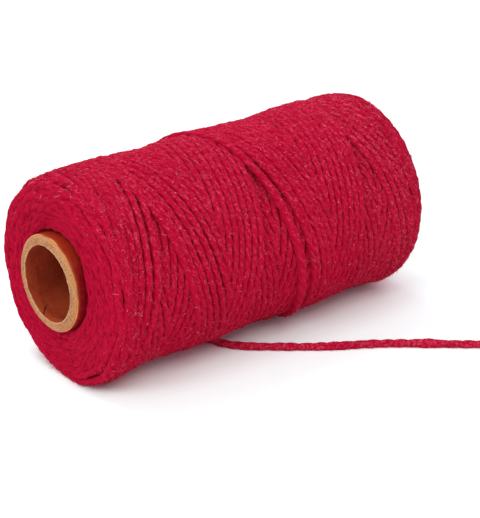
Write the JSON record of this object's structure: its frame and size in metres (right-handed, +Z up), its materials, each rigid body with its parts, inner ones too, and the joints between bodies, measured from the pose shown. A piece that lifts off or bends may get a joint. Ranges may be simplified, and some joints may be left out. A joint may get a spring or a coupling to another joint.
{
  "type": "string reel",
  "caption": "Roll of cotton twine cross-wound on a round paperboard tube, lying on its side with the free end of the twine out on the floor.",
  "frame": {"origin": "on the surface that the roll lies on, below the middle of the tube", "axes": "+X along the tube's axis from the near open end to the far end, +Y towards the back, +Z up"},
  "size_m": [0.1229, 0.1042, 0.0545],
  "materials": {
    "liner_paper": "matt dark brown kraft paper",
    "tube_board": "cut edge of tan wound board, matt and fibrous",
    "wrap_paper": "glazed amber-brown kraft paper, semi-gloss",
    "twine": "matt crimson cotton, loosely twisted and hairy"
  },
  "bodies": {
    "root": {"tube_inner_liner": "liner_paper", "tube_board": "tube_board", "tube_outer_wrap": "wrap_paper", "twine_inner_layers": "twine", "twine_outer_layer": "twine", "twine_free_end": "twine"}
  },
  "joints": []
}
